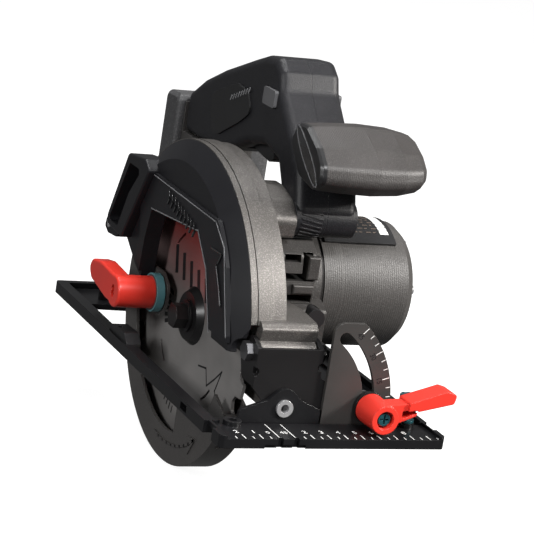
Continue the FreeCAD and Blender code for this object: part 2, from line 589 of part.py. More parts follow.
def gear_case():
    """Cast case round the gears, with a stepped, vented front."""
    low = cyl_x((CASE_X[0], 46.0), 0, ARBOR_Z, 24.2)
    high = cyl_x(CASE_X, MOTOR_Y, MOTOR_Z, CASE_R)
    front = prism_x((CASE_X[0], 44.0), [(-55.5, 48.5), (-58, 62), (-56, 84), (-46, 91), (0, 91),
                                        (0, 20), (-30, 20)], [2, 3, 4, 4, 0, 0, 4])
    chin = prism_x((28.2, 52.0), [(-62, 34), (-62, 54), (-52, 58), (-20, 50), (-20, 34)],
                   [2, 3, 2, 0, 0])
    case = low.fuse([high, front, chin])
    case = case.cut(box((10, 28.1), (-104, -56), (44, 61)))
    case = case.cut(cyl_x((CASE_X[0] - 1, 34), 0, ARBOR_Z, 21.2))
    case = case.cut(cyl_x((33, 43.4), 0, ARBOR_Z, 13.1))
    case = case.cut(cyl_x((20.5, CASE_X[1] + 1), MOTOR_Y, MOTOR_Z, 8.1))
    case = case.cut(cyl_x((46, CASE_X[1] + 1), MOTOR_Y, MOTOR_Z, 31.5))
    case = case.cut(cyl_y((-64, -47), *SPINDLE_LOCK, 5.8))
    for z, x0, x1 in ((80.0, 24.0, 34.0), (69.5, 24.0, 43.0), (57.5, 20.0, 43.0)):
        case = case.cut(box((x0, x1), (-60, -38), (z, z + 4.4)))
    case = case.cut(box((35.5, 41.5), (-60, -40), (73.5, 85.5)))
    bosses = [box((38.0, 45.5), (-58.5, -50), (70.5, 84)), box((30.0, 43.0), (-60, -50), (62.6, 68))]
    return case.fuse([soften(b, 1.2, lambda e: e.BoundBox.YMax < -57) for b in bosses])


def motor_housing():
    """Motor barrel with ears for the screws that hold it to the gear case."""
    barrel = ring_x((58.0, 70.0), MOTOR_Y, MOTOR_Z, 31.5, MOTOR_R + 0.4)
    barrel = barrel.fuse(ring_x((70.0, 112.0), MOTOR_Y, MOTOR_Z, 31.5, MOTOR_R))
    places = round_motor(EAR_R, EAR_A)
    barrel = barrel.fuse([cyl_x((58.0, 68.0), *p, 4.5) for p in places])
    barrel = barrel.cut(cyl_x((57, 113), MOTOR_Y, MOTOR_Z, 31.5))
    for p in places:
        barrel = barrel.cut(cyl_x((57, 69), *p, 1.5))
    return barrel


def motor_end_cap():
    cap = cone_x((112.0, 117.0), MOTOR_Y, MOTOR_Z, MOTOR_R, 32.8)
    cap = cap.cut(cyl_x((110, 114.8), MOTOR_Y, MOTOR_Z, 30.5))
    for p in round_motor(CAP_SCREW_R, CAP_SCREW_A):
        cap = cap.cut(cyl_x((110, 118), *p, 1.5))
    slots = []
    for k in range(10):
        a = 36 * k
        slots.append(sector_x((113, 118), 14.0, 26.0, a, a + 20, (MOTOR_Y, MOTOR_Z)))
    cap = cap.cut(slots[0].multiFuse(slots[1:]))
    return cap.fuse(ring_x((107.0, 115.0), MOTOR_Y, MOTOR_Z, 8.05, 11.0))


def motor_panel():
    """Black panel let into the top of the barrel."""
    middle, span = (MOTOR_Y, MOTOR_Z), (62, 128)
    panel = sector_x((60.0, 106.0), MOTOR_R + 0.4, MOTOR_R + 1.9, *span, middle)
    return panel.fuse(sector_x((70.0, 106.0), MOTOR_R, MOTOR_R + 1.9, *span, middle))


def rotor():
    """Rotor with the pinion cut on the end of its shaft."""
    core = cyl_x((74.0, 100.0), MOTOR_Y, MOTOR_Z, 14.0)
    shaft = cyl_x((21.0, 114.0), MOTOR_Y, MOTOR_Z, 3.5)
    wheel = cyl_x((21.0, 33.0), MOTOR_Y, MOTOR_Z, PINION_R)
    cuts = [cyl_x((20, 34), MOTOR_Y + 6.1 * math.cos(t), MOTOR_Z + 6.1 * math.sin(t), 1.1)
            for t in (2 * math.pi * k / 11 for k in range(11))]
    return core.fuse([shaft, wheel.cut(cuts[0].multiFuse(cuts[1:]))])


def fan():
    wheel = cyl_x((60.0, 68.5), MOTOR_Y, MOTOR_Z, 8.0)
    wheel = wheel.fuse(cyl_x((60.0, 61.5), MOTOR_Y, MOTOR_Z, 28.0))
    for k in range(9):
        blade_k = box((61.0, 67.5), (6, 27), (-0.9, 0.9))
        blade_k.rotate(V(0, 0, 0), EX, 40 * k + 7)
        wheel = wheel.fuse(blade_k.translated(V(0, MOTOR_Y, MOTOR_Z)))
    return wheel.cut(cyl_x((59, 70), MOTOR_Y, MOTOR_Z, 3.5))


def stator():
    body = ring_x((72.0, 102.0), MOTOR_Y, MOTOR_Z, 15.0, 31.5)
    slots = [sector_x((71, 103), 17.0, 27.0, 60 * k + 20, 60 * k + 40, (MOTOR_Y, MOTOR_Z))
             for k in range(6)]
    return body.cut(slots[0].multiFuse(slots[1:]))


def bearings():
    """Two on the spindle, two on the motor shaft."""
    return Part.makeCompound([ring_x((12.0, 19.0), 0, ARBOR_Z, 7.55, 21.2),
                              ring_x((35.0, 42.0), 0, ARBOR_Z, 7.55, 13.1),
                              ring_x((36.0, 41.0), MOTOR_Y, MOTOR_Z, 3.55, 8.1),
                              ring_x((107.5, 112.5), MOTOR_Y, MOTOR_Z, 3.55, 8.05)])


add("gear_case", gear_case())
add("motor_housing", motor_housing())
add("motor_end_cap", motor_end_cap())
add("motor_panel", motor_panel())
add("motor_rotor", rotor())
add("cooling_fan", fan())
add("motor_stator", stator())
add("ball_bearings", bearings())
add("motor_screws", Part.makeCompound(
    [screw_x(68.0, -1, *p, 2.6, 1.5, 9.5) for p in round_motor(EAR_R, EAR_A)]
    + [screw_x(117.0, -1, *p, 2.6, 1.5, 3.5) for p in round_motor(CAP_SCREW_R, CAP_SCREW_A)]))
add("work_light", cyl_y((-65.0, -62.0), 33.6, 48.5, 3.2).fuse(
    cyl_y((-66.2, -64.9), 33.6, 48.5, 2.4)))
add("spindle_lock_button", cyl_y((-66.0, -51.0), *SPINDLE_LOCK, 5.5))
add("depth_clamp_bolt", cyl_x((8.0, 25.0), CLAMP_Y, CLAMP_Z, 3.0).fuse(
    [cyl_x((7.8, 8.6), CLAMP_Y, CLAMP_Z, 5.0), ring_x((11.0, 13.2), CLAMP_Y, CLAMP_Z, 2.9, 6.0)]))


def depth_lever():
    """Clamp lever between the guard and the handle."""
    y, z = CLAMP_Y, CLAMP_Z
    hub = cyl_x((16.4, 26.0), y, z, 8.0)
    arm = prism_x((18.0, 25.0), [(y, z - 6), (y + 34, z - 3), (y + 44, z + 2), (y + 42, z + 9),
                                 (y + 30, z + 6), (y, z + 7)], [2, 6, 4, 3, 6, 2])
    return hub.fuse(arm).cut(cyl_x((15, 27), y, z, 3.05))


add("depth_lever", depth_lever())


# ---- handles ------------------------------------------------------------
GRIP_YZ = [(-46, 131), (-9, 167), (-5, 177), (4, 183.2), (20, 181.5), (36, 176), (78, 160.5),
           (104, 149), (124, 136.5), (124, 112), (100, 112), (84, 113.5), (58, 116), (26, 128),
           (4, 132), (-16, 128), (-27, 112), (-32, 104), (-50, 100), (-54, 108)]
GRIP_R = [8, 10, 5, 5, 8, 12, 12, 8, 5, 2, 2, 12, 12, 8, 6, 5, 6, 4, 7, 6]
FOOT_AT, FOOT_R = (-43.5, 103.0), 10.8    # round foot under the front pillar, along X
CAVITY_YZ = [(-36, 128), (8, 172), (34, 170), (100, 143), (118, 133), (118, 118),
             (60, 124), (28, 136), (4, 139), (-20, 132)]


def handle_half(x, outer):
    body = prism_x(x, GRIP_YZ, GRIP_R)
    body = soften(body, 9.0, at_x(outer)).fuse(cyl_x(x, *FOOT_AT, FOOT_R))
    hollow_x = (x[0] + 5, x[1] + 1) if outer == x[0] else (x[0] - 1, x[1] - 5)
    body = body.cut(prism_x(hollow_x, CAVITY_YZ, 4))
    body = body.cut(box((37.6, 56.4), (7.5, 46.5), (110, 146)))
    body = body.cut(box((20, 80), (LOCK_Y - 8.3, LOCK_Y + 8.3), (LOCK_Z - 5.3, LOCK_Z + 5.3)))
    for p in GRIP_SCREWS:
        body = body.cut(cyl_x((50, 70), *p, 1.5))
        body = body.cut(cyl_x((HANDLE_X[1] - 4, 70), *p, 3.2))
    return body


LOCK_Y, LOCK_Z = 2.5, 160.5
GRIP_SCREWS = ((112.0, 122.0), (20.0, 150.5), (-43.5, 103.0), (70.0, 151.0))


def rear_housing(x, outer):
    column = [(100.5, 112), (100.5, 84), (30, 84), (30, 40), (118, 40), (125.8, 50), (125.8, 130),
              (124.2, 130), (124.2, 111.7)]
    body = prism_x(x, column, [3, 8, 2, 3, 5, 2, 0, 0, 0])
    body = soften(body, 3.0, at_x(outer))
    hollow_x = (x[0] + 3, x[1] + 1) if outer == x[0] else (x[0] - 1, x[1] - 3)
    body = body.cut(prism_x(hollow_x, [(104, 108), (104, 80), (34, 80), (34, 44), (116, 44),
                                       (122, 52), (122, 108)], 3))
    body = body.cut(cyl_x((10, 58.0), MOTOR_Y, MOTOR_Z, CASE_R))
    return body.cut(cyl_x((58.0, 120), MOTOR_Y, MOTOR_Z, MOTOR_R + 0.4))


def grip_pads():
    """Soft inserts in both sides of the grip."""
    outline = [(85, 136), (82, 146), (50, 158), (34, 157), (26, 146), (40, 137), (68, 123),
               (77, 122)]
    radii = [5, 6, 8, 6, 5, 6, 5, 4]
    left = prism_x((HANDLE_X[0] - 1.2, HANDLE_X[0] + 0.0), outline, radii)
    right = prism_x((HANDLE_X[1], HANDLE_X[1] + 1.2), outline, radii)
    return Part.makeCompound([left, right])


def trigger():
    outline = [(44, 131), (42, 124.5), (30, 122), (14, 120.2), (9, 123), (11, 133), (20, 143),
               (44, 141)]
    return prism_x((38.2, 55.8), outline, [2, 3, 12, 3, 3, 6, 3, 2])


def lock_button():
    bar = box((HANDLE_X[0] - 2.0, HANDLE_X[1] + 2.0), (LOCK_Y - 8, LOCK_Y + 8),
              (LOCK_Z - 5, LOCK_Z + 5))
    return soften(bar, 1.5, lambda e: e.BoundBox.XLength > 20)


AUX_YZ = [(-31.5, 145.1), (-38, 157), (-51, 157.5), (-69, 149), (-79.5, 140), (-81, 131),
          (-70, 123.5), (-50, 127.1)]
AUX_C = (-56.5, 141.0)


def aux_section(x, scale, drop=0.0):
    pts = [V(x, AUX_C[0] + (y - AUX_C[0]) * scale, AUX_C[1] + (z - AUX_C[1]) * scale - drop)
           for y, z in AUX_YZ]
    return rounded_wire(pts, 6.0 * scale)


def aux_part(stations):
    return Part.makeLoft([aux_section(*s) for s in stations], True, True)


add("handle_shell_left", handle_half((HANDLE_X[0], HANDLE_MID - 0.02), HANDLE_X[0]))
add("handle_shell_right", handle_half((HANDLE_MID + 0.02, HANDLE_X[1]), HANDLE_X[1]))
add("rear_housing_left", rear_housing((HANDLE_X[0], HANDLE_MID - 0.02), HANDLE_X[0]))
add("rear_housing_right", rear_housing((HANDLE_MID + 0.02, HANDLE_X[1]), HANDLE_X[1]))
add("grip_pads", grip_pads())
add("switch_trigger", trigger())
add("lock_off_button", lock_button())
add("aux_handle_inner", aux_part([(30.0, 0.95), (44.0, 1.0), (62.0, 1.03)]).cut(
    prism_x(HANDLE_X, GRIP_YZ, GRIP_R)))
add("aux_handle_outer", aux_part([(62.0, 1.03), (79.0, 0.98), (90.0, 0.86), (94.0, 0.68)]).cut(
    prism_x(HANDLE_X, GRIP_YZ, GRIP_R)))
add("aux_handle_cap", aux_part([(26.5, 0.86), (28.0, 0.93), (30.0, 0.95)]))
add("handle_screws", Part.makeCompound(
    [screw_x(HANDLE_X[1] - 4, -1, *p, 3.0, 1.5, 10.0) for p in GRIP_SCREWS]))
add("switch_body", box((33.0, 61.0), (52, 80), (129, 144)))
add("control_board", box((31.0, 33.0), (104.5, 121), (60, 105)))


# ---- battery ------------------------------------------------------------
PACK_X, PACK_Y, PACK_Z = (23.5, 91.0), (126.5, 148.5), (40.0, 133.5)
RAIL_Z = (60.0, 118.0)


def battery_rail():
    neck = box((33.0, 61.0), (125.8, 129.2), RAIL_Z)
    return neck.fuse(box((30.0, 64.0), (129.0, 131.5), RAIL_Z))


def battery_pack():
    pack = prism_x(PACK_X, [(PACK_Y[0], PACK_Z[0]), (PACK_Y[1], PACK_Z[0]), (PACK_Y[1], PACK_Z[1]),
                            (PACK_Y[0], PACK_Z[1])], [3, 6, 6, 4.5])
    pack = soften(pack, 3.0, at_x(PACK_X[0]))
    pack = soften(pack, 4.0, at_x(PACK_X[1]))
    pack = pack.cut(box((32.6, 61.4), (125, 129), (PACK_Z[0] - 1, RAIL_Z[1] + 0.5)))
    pack = pack.cut(box((29.6, 64.4), (128.6, 131.9), (PACK_Z[0] - 1, RAIL_Z[1] + 0.5)))
    corner = prism_y((125, 150), [(20, 127.5), (20, 136), (28.5, 136)])
    return pack.cut(corner).cut(box((44.0, 74.0), (142.5, 150), (112, 126)))


add("battery_rail", battery_rail())
add("battery_pack", battery_pack())
add("battery_latch", soften(box((44.3, 73.7), (145.5, 150.0), (112.3, 125.7)), 1.2,
                            lambda e: e.BoundBox.YMin > 149.9))


# ---- export -------------------------------------------------------------
os.makedirs("parts", exist_ok=True)
for node, shape in NODES.items():
    shape.exportStep("parts/" + node + ".step")
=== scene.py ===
"""Looks of the cordless circular saw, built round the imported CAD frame."""
import bmesh
import bpy
import math
from mathutils import Matrix, Vector


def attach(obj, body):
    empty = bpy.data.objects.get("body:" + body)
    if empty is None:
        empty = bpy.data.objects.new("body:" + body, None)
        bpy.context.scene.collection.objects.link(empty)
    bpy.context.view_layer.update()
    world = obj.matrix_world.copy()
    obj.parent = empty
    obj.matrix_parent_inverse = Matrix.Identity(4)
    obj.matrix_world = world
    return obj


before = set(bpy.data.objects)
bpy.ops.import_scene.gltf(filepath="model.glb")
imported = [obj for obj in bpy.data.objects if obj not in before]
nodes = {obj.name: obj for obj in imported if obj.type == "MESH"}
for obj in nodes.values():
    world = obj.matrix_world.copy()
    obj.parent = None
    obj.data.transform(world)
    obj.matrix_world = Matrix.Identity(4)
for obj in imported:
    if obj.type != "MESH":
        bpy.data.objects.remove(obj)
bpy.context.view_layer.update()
MM = 0.001

# ---- sizes repeated from the CAD, in mm ----------------------------------
SHOE_TOP = 5.3
BEVEL_X, BEVEL_Z = 11.0, 13.8
QUAD_R, QUAD_FACE_Y = 63.6, -111.0
COVER_FACE_X = -20.0
BLADE_FACE_X = -0.9
GUARD_FACE_X = -9.0
CAP_FACE_X = 26.5
PAD_FACE_X = 26.8
ARBOR_Z = 30.0
MOTOR_Y, MOTOR_Z = -6.0, 55.6
PANEL_R, PANEL_START = 38.9, 62       # outside of the motor panel, and its first angle
BOSS = (35.0, 33.0, 10.5)             # y, z and radius of the guard lever's boss
FOOT = (-43.5, 103.0, 10.8)           # y, z and radius of the front pillar's foot

# ---- view and light, in m ------------------------------------------------
CAMERA_AT = (-0.5165, -1.1671, 0.3884)
CAMERA_RIGHT = (0.9078, -0.3904, 0.1533)
CAMERA_UP = (-0.0383, 0.2868, 0.9572)
CAMERA_LENS, CAMERA_SENSOR = 155.06, 36.0
LIGHT_TARGET = (0.02, 0, 0.08)
WORLD_STRENGTH = 0.13
FLOOR_Z = -0.0575
SURROUND_R, FLOOR_R = 6.0, 5.9


# ---- materials ----------------------------------------------------------
def link(tree, a, b):
    """Join two sockets."""
    tree.links.new(a, b)


def node(tree, kind, **inputs):
    """New shader node with its inputs set by name."""
    n = tree.nodes.new(kind)
    for key, value in inputs.items():
        n.inputs[key.replace("_", " ")].default_value = value
    return n


def finish_mat(name, colour, rough, metal=0.0, grain=0.0, grain_scale=900.0, vary=0.12,
               coat=0.0, bevel=0.35, speckle=0.0, gloss=0.5, rings=0.0):
    """Principled material with fine procedural grain and softened edges."""
    m = bpy.data.materials.new(name)
    m.use_nodes = True
    t = m.node_tree
    p = t.nodes["Principled BSDF"]
    p.inputs["Metallic"].default_value = metal
    p.inputs["Coat Weight"].default_value = coat
    p.inputs["Specular IOR Level"].default_value = gloss
    p.inputs["Coat Roughness"].default_value = 0.25
    place = t.nodes.new("ShaderNodeTexCoord")
    fine = node(t, "ShaderNodeTexNoise", Scale=grain_scale, Detail=3.0, Roughness=0.6)
    wide = node(t, "ShaderNodeTexNoise", Scale=35.0, Detail=2.0, Roughness=0.5)
    link(t, place.outputs["Object"], fine.inputs["Vector"])
    link(t, place.outputs["Object"], wide.inputs["Vector"])
    ramp = t.nodes.new("ShaderNodeValToRGB")
    low = [c * (1 - vary) for c in colour]
    high = [min(1.0, c * (1 + vary)) for c in colour]
    ramp.color_ramp.elements[0].position = 0.3
    ramp.color_ramp.elements[0].color = (*low, 1)
    ramp.color_ramp.elements[1].position = 0.7
    ramp.color_ramp.elements[1].color = (*high, 1)
    link(t, wide.outputs["Fac"], ramp.inputs["Fac"])
    out = ramp.outputs["Color"]
    if speckle:
        spots = t.nodes.new("ShaderNodeValToRGB")
        spots.color_ramp.elements[0].position = 0.5
        spots.color_ramp.elements[0].color = (0, 0, 0, 1)
        spots.color_ramp.elements[1].position = 0.72
        spots.color_ramp.elements[1].color = (1, 1, 1, 1)
        link(t, fine.outputs["Fac"], spots.inputs["Fac"])
        mix = t.nodes.new("ShaderNodeMix")
        mix.data_type = "RGBA"
        scale = t.nodes.new("ShaderNodeMath")
        scale.operation = "MULTIPLY"
        scale.inputs[1].default_value = speckle
        link(t, spots.outputs["Color"], scale.inputs[0])
        link(t, scale.outputs[0], mix.inputs["Factor"])
        link(t, out, mix.inputs["A"])
        mix.inputs["B"].default_value = (*[min(1, c * 3.2 + 0.03) for c in colour], 1)
        out = mix.outputs["Result"]
    link(t, out, p.inputs["Base Color"])
    span = node(t, "ShaderNodeMapRange")
    span.inputs["To Min"].default_value = max(0.02, rough - 0.07)
    span.inputs["To Max"].default_value = min(1.0, rough + 0.07)
    link(t, wide.outputs["Fac"], span.inputs["Value"])
    link(t, span.outputs["Result"], p.inputs["Roughness"])
    edge = node(t, "ShaderNodeBevel", Radius=bevel * MM)
    edge.samples = 4
    bump = node(t, "ShaderNodeBump", Strength=grain, Distance=0.0002)
    link(t, fine.outputs["Fac"], bump.inputs["Height"])
    link(t, edge.outputs["Normal"], bump.inputs["Normal"])
    if rings:
        wave = node(t, "ShaderNodeTexWave", Scale=rings, Distortion=1.5, Detail=2.0)
        link(t, place.outputs["Object"], wave.inputs["Vector"])
        turned = node(t, "ShaderNodeBump", Strength=0.16, Distance=0.0003)
        link(t, wave.outputs["Fac"], turned.inputs["Height"])
        link(t, bump.outputs["Normal"], turned.inputs["Normal"])
        bump = turned
    link(t, bump.outputs["Normal"], p.inputs["Normal"])
    return m


M = {
    "paint": finish_mat("paint", (0.008, 0.008, 0.009), 0.34, grain=0.05, gloss=0.35),
    "bracket": finish_mat("bracket", (0.010, 0.0095, 0.010), 0.32, grain=0.08, gloss=0.4),
    "cover": finish_mat("cover", (0.011, 0.011, 0.013), 0.42, grain=0.12, grain_scale=1500,
                        gloss=0.3),
    "cast": finish_mat("cast", (0.110, 0.103, 0.097), 0.38, metal=0.55, grain=0.9,
                       grain_scale=1500, speckle=0.5),
    "case": finish_mat("case", (0.050, 0.047, 0.045), 0.42, metal=0.4, grain=0.8,
                       grain_scale=1500, speckle=0.4),
    "shell": finish_mat("shell", (0.011, 0.011, 0.013), 0.42, grain=0.9, grain_scale=1500,
                        speckle=0.35, bevel=0.6, gloss=0.32),
    "motor": finish_mat("motor", (0.048, 0.045, 0.043), 0.46, grain=0.7, grain_scale=1500,
                        rings=230, speckle=0.3, bevel=0.5),
    "black": finish_mat("black", (0.012, 0.012, 0.013), 0.4, grain=0.2, grain_scale=1500),
    "barrel": finish_mat("barrel", (0.034, 0.031, 0.030), 0.46, grain=0.9, grain_scale=1500,
                         rings=290, speckle=0.35, bevel=0.6),
    "button": finish_mat("button", (0.10, 0.10, 0.105), 0.5, grain=0.3, grain_scale=1500),
    "pad": finish_mat("pad", (0.012, 0.012, 0.013), 0.6, grain=0.3, grain_scale=1800),
    "red": finish_mat("red", (0.74, 0.036, 0.022), 0.36, grain=0.18, grain_scale=900,
                      vary=0.06, coat=0.25, bevel=0.8),
    "guard": finish_mat("guard", (0.085, 0.080, 0.077), 0.34, metal=0.35, grain=0.25,
                        grain_scale=1200, speckle=0.15),
    "quadrant": finish_mat("quadrant", (0.055, 0.052, 0.050), 0.42, metal=0.3, grain=0.15),
    "battery": finish_mat("battery", (0.050, 0.050, 0.052), 0.5, grain=0.8, grain_scale=900,
                          speckle=0.45, bevel=0.8),
    "sleeve": finish_mat("sleeve", (0.10, 0.26, 0.29), 0.4, grain=0.2),
    "bright": finish_mat("bright", (0.50, 0.50, 0.51), 0.28, metal=0.6, grain=0.1, vary=0.1),
    "dull": finish_mat("dull", (0.20, 0.20, 0.21), 0.38, metal=0.9, grain=0.15),
    "teal": finish_mat("teal", (0.02, 0.10, 0.12), 0.3, metal=0.4, grain=0.1),
    "white": finish_mat("white", (0.75, 0.75, 0.74), 0.6, vary=0.03, bevel=0.05),
    "lens": finish_mat("lens", (0.55, 0.60, 0.18), 0.15, coat=0.8, vary=0.05),
    "ink": finish_mat("ink", (0.006, 0.006, 0.007), 0.5, vary=0.2, bevel=0.05),
    "gloss": finish_mat("gloss", (0.012, 0.012, 0.013), 0.16, grain=0.05, coat=0.6, bevel=0.3),
    # Light grey: on the guard cover's edges and the grip pad's ribs it is painted highlight; the
    # cap's outline is grey in its own right.
    "edge": finish_mat("edge", (0.22, 0.22, 0.23), 0.3, grain=0.1, bevel=0.15),
    "label": finish_mat("label", (0.10, 0.075, 0.06), 0.5, bevel=0.05),
    "copper": finish_mat("copper", (0.35, 0.14, 0.06), 0.35, metal=0.8),
    "board": finish_mat("board", (0.02, 0.16, 0.06), 0.5),
}


def blade_mat():
    """Ground steel with a red print, strongest at the top and gone at the arbor."""
    m = finish_mat("blade", (0.40, 0.385, 0.375), 0.3, metal=0.6, grain=0.05, bevel=0.1)
    t = m.node_tree
    p = t.nodes["Principled BSDF"]
    place = t.nodes.new("ShaderNodeTexCoord")
    split = t.nodes.new("ShaderNodeSeparateXYZ")
    link(t, place.outputs["Object"], split.inputs[0])
    height = node(t, "ShaderNodeMapRange")
    height.inputs["From Min"].default_value = 0.030
    height.inputs["From Max"].default_value = 0.078
    link(t, split.outputs["Z"], height.inputs["Value"])
    mix = t.nodes.new("ShaderNodeMix")
    mix.data_type = "RGBA"
    link(t, height.outputs["Result"], mix.inputs["Factor"])
    old = p.inputs["Base Color"].links[0].from_socket
    link(t, old, mix.inputs["A"])
    mix.inputs["B"].default_value = (0.36, 0.035, 0.03, 1)
    link(t, mix.outputs["Result"], p.inputs["Base Color"])
    rings = node(t, "ShaderNodeTexNoise", Scale=60.0, Detail=4.0)
    stretch = t.nodes.new("ShaderNodeMapping")
    stretch.inputs["Scale"].default_value = (1, 1, 14)
    link(t, place.outputs["Object"], stretch.inputs["Vector"])
    link(t, stretch.outputs["Vector"], rings.inputs["Vector"])
    span = node(t, "ShaderNodeMapRange")
    span.inputs["To Min"].default_value = 0.24
    span.inputs["To Max"].default_value = 0.46
    link(t, rings.outputs["Fac"], span.inputs["Value"])
    link(t, span.outputs["Result"], p.inputs["Roughness"])
    return m


M["blade"] = blade_mat()

LOOK = {
    "paint": "shoe_plate pivot_lugs",
    "quadrant": "bevel_quadrant",
    "bracket": "outer_flange blade_bolt front_bracket depth_guide bevel_washer depth_pivot_nut",
    "cover": "guard_cover dust_chute",
    "cast": "upper_guard guard_side_ring",
    "case": "gear_case",
    "shell": "handle_shell_left handle_shell_right",
    "motor": "motor_housing motor_end_cap rear_housing_left rear_housing_right",
    "black": ("rail_block motor_panel aux_handle_cap switch_trigger spindle_lock_button "
              "cooling_fan switch_body"),
    "barrel": "aux_handle_inner aux_handle_outer",
    "button": "lock_off_button",
    "pad": "grip_pads",
    "battery": "battery_pack battery_latch",
    "red": "guard_lever bevel_lever depth_lever",
    "guard": "lower_guard",
    "bright": ("pivot_rivets shoe_rivets bevel_stud chute_screw motor_screws handle_screws "
               "guard_lever_screw spindle_shaft drive_gear ball_bearings battery_rail "
               "guard_bearing_ring motor_rotor depth_clamp_bolt guard_spring inner_flange"),
    "dull": "depth_pivot_bolt",
    "teal": "fence_thumb_screw bevel_lever_screw",
    "lens": "work_light",
    "copper": "motor_stator",
    "board": "control_board",
    "blade": "saw_blade",
}
for look, names in LOOK.items():
    for name in names.split():
        o = nodes[name]
        o.data.materials.clear()
        o.data.materials.append(M[look])


# ---- raised and printed detail ------------------------------------------
class Piece:
    """Thin closed prisms gathered into one mesh that rides on a body."""

    def __init__(self, name, body, look, slot, plane):
        self.name, self.body, self.look, self.slot = name, body, look, slot
        self.bm = bmesh.new()
        self.set_plane(plane)

    def set_plane(self, plane):
        """Following prisms stand on this plane: origin, and its two directions."""
        origin, u, v = (Vector(p) for p in plane)
        self.origin, self.u, self.v = origin, u, v
        self.n = u.cross(v).normalized()

    def at(self, a, b, c=0.0):
        """Point at a, b on the plane and c above it, in metres."""
        return (self.origin + self.u * a + self.v * b + self.n * c) * MM

    def prism(self, poly, low=-0.15, high=0.12):
        """Closed prism over an outline, from below the plane to above it."""
        rows = [[self.bm.verts.new(self.at(a, b, c)) for a, b in poly] for c in (low, high)]
        self.bm.faces.new(rows[0])
        self.bm.faces.new(rows[1])
        for k in range(len(poly)):
            n = (k + 1) % len(poly)
            self.bm.faces.new((rows[0][k], rows[0][n], rows[1][n], rows[1][k]))

    def bar(self, p, q, width, low=-0.15, high=0.12):
        """Straight bar from p to q, with its ends half a width longer."""
        way = (Vector(q) - Vector(p)).normalized() * width / 2
        side = Vector((-way.y, way.x))
        p, q = Vector(p) - way, Vector(q) + way
        self.prism([p + side, p - side, q - side, q + side], low, high)

    def path(self, points, width, low=-0.15, high=0.12):
        """Bars from each point to the next."""
        for p, q in zip(points, points[1:]):
            self.bar(p, q, width, low, high)

    def text(self, word, a, b, size, turn=0.0, high=0.12):
        """A number, standing on the plane."""
        curve = bpy.data.curves.new("number", "FONT")
        curve.body, curve.size = word, size * MM
        curve.align_x, curve.align_y = "CENTER", "CENTER"
        curve.extrude, curve.resolution_u = 0.12 * MM, 3
        o = bpy.data.objects.new("number", curve)
        mesh = bpy.data.meshes.new_from_object(o)
        place = Matrix((self.u.normalized(), self.v.normalized(), self.n)).transposed().to_4x4()
        mesh.transform(Matrix.Translation(self.at(a, b, high - 0.12)) @ place
                       @ Matrix.Rotation(turn, 4, "Z"))
        self.bm.from_mesh(mesh)
        bpy.data.meshes.remove(mesh)
        bpy.data.objects.remove(o)
        bpy.data.curves.remove(curve)

    def done(self):
        """Turn the gathered prisms into an object that rides on its body."""
        bmesh.ops.recalc_face_normals(self.bm, faces=self.bm.faces)
        mesh = bpy.data.meshes.new(self.name)
        self.bm.to_mesh(mesh)
        self.bm.free()
        mesh.materials.append(M[self.look])
        o = bpy.data.objects.new(self.name, mesh)
        bpy.context.scene.collection.objects.link(o)
        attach(o, self.body)
        return o


def polar(r, degrees):
    """Point at a radius and an angle."""
    t = math.radians(degrees)
    return r * math.cos(t), r * math.sin(t)


def shoe_scale():
    """Centimetre scale and the two cut lines along the front strip."""
    p = Piece("shoe_scale", "shoe", "white", "bright_steel",
              ((0, 0, SHOE_TOP), (1, 0, 0), (0, 1, 0)))
    for k in range(-5, 20):
        if k in (0, 1, 2):
            continue
        long = k % 2 == 0
        p.bar((k * 5.0, -134.8), (k * 5.0, -129.4 if long else -132.2), 0.5, -0.1, 0.05)
        if long and k != 18:
            p.text(str(abs(k // 2)), k * 5.0 - 1.6, -125.0, 5.6, high=0.05)
    for x, word in ((0.0, "0"), (9.3, "45")):
        p.bar((x, -133.0), (x, -113.5), 0.5, -0.1, 0.05)
        p.text(word, x - 3.6, -126.0, 4.6, high=0.05)
    p.done()


def quadrant_scale():
    """Degree marks on the bevel quadrant."""
    plane = ((BEVEL_X, QUAD_FACE_Y, BEVEL_Z), (1, 0, 0), (0, 0, 1))
    lines = Piece("quadrant_marks", "shoe", "white", "bright_steel", plane)
    words = Piece("quadrant_numbers", "shoe", "ink", "black_plastic", plane)
    for k in range(10):
        a = 2.0 + 5 * k
        inner = QUAD_R - (4.4 if k % 3 == 0 else 2.8)
        lines.bar(polar(inner, a), polar(QUAD_R - 0.7, a), 0.4)
        if k % 3 == 0:
            words.text(str(5 * k), *polar(56.9, a), 4.2, math.radians(a - 90))
    lines.done()
    words.done()


def cover_detail():
    """Raised ribs and arrow on the guard cover, with light grey painted highlights along its edges
    and the arrow line.
    """
    plane = ((COVER_FACE_X, 0, 0), (0, -1, 0), (0, 0, 1))
    ribs = Piece("cover_ribs", "head", "gloss", "black_plastic", plane)
    for k in range(9):
        a, b = -15.0 + 5.2 * k, 95.8 - 0.95 * k
        ribs.path([(a, b + 3.6), (a + 2.2, b), (a, b - 3.6)], 1.1, high=0.9)
    ribs.path([(55.2, 86.0), (70.0, 86.6), (66.6, 80.6)], 0.9, high=0.8)
    ribs.path([(64.8, 79.0), (72.8, 68.4), (78.0, 59.6)], 0.9, high=0.8)
    ribs.done()
    # Light grey lines on the black cover's window edge, arrow line and outer border: painted
    # highlights.
    edge = Piece("cover_painted_highlights", "head", "edge", "black_plastic", plane)
    edge.path([(-39.0, 82.6), (32.4, 89.3), (50.9, 72.6), (66.5, 41.6)], 0.55, high=0.35)
    edge.path([(65.2, 78.4), (72.8, 68.4), (77.6, 60.2)], 0.4, high=0.95)
    edge.path([(-64.0, 102.2), (55.0, 100.6), (70.6, 90.4), (90.0, 46.0)], 0.5, high=0.3)
    edge.done()


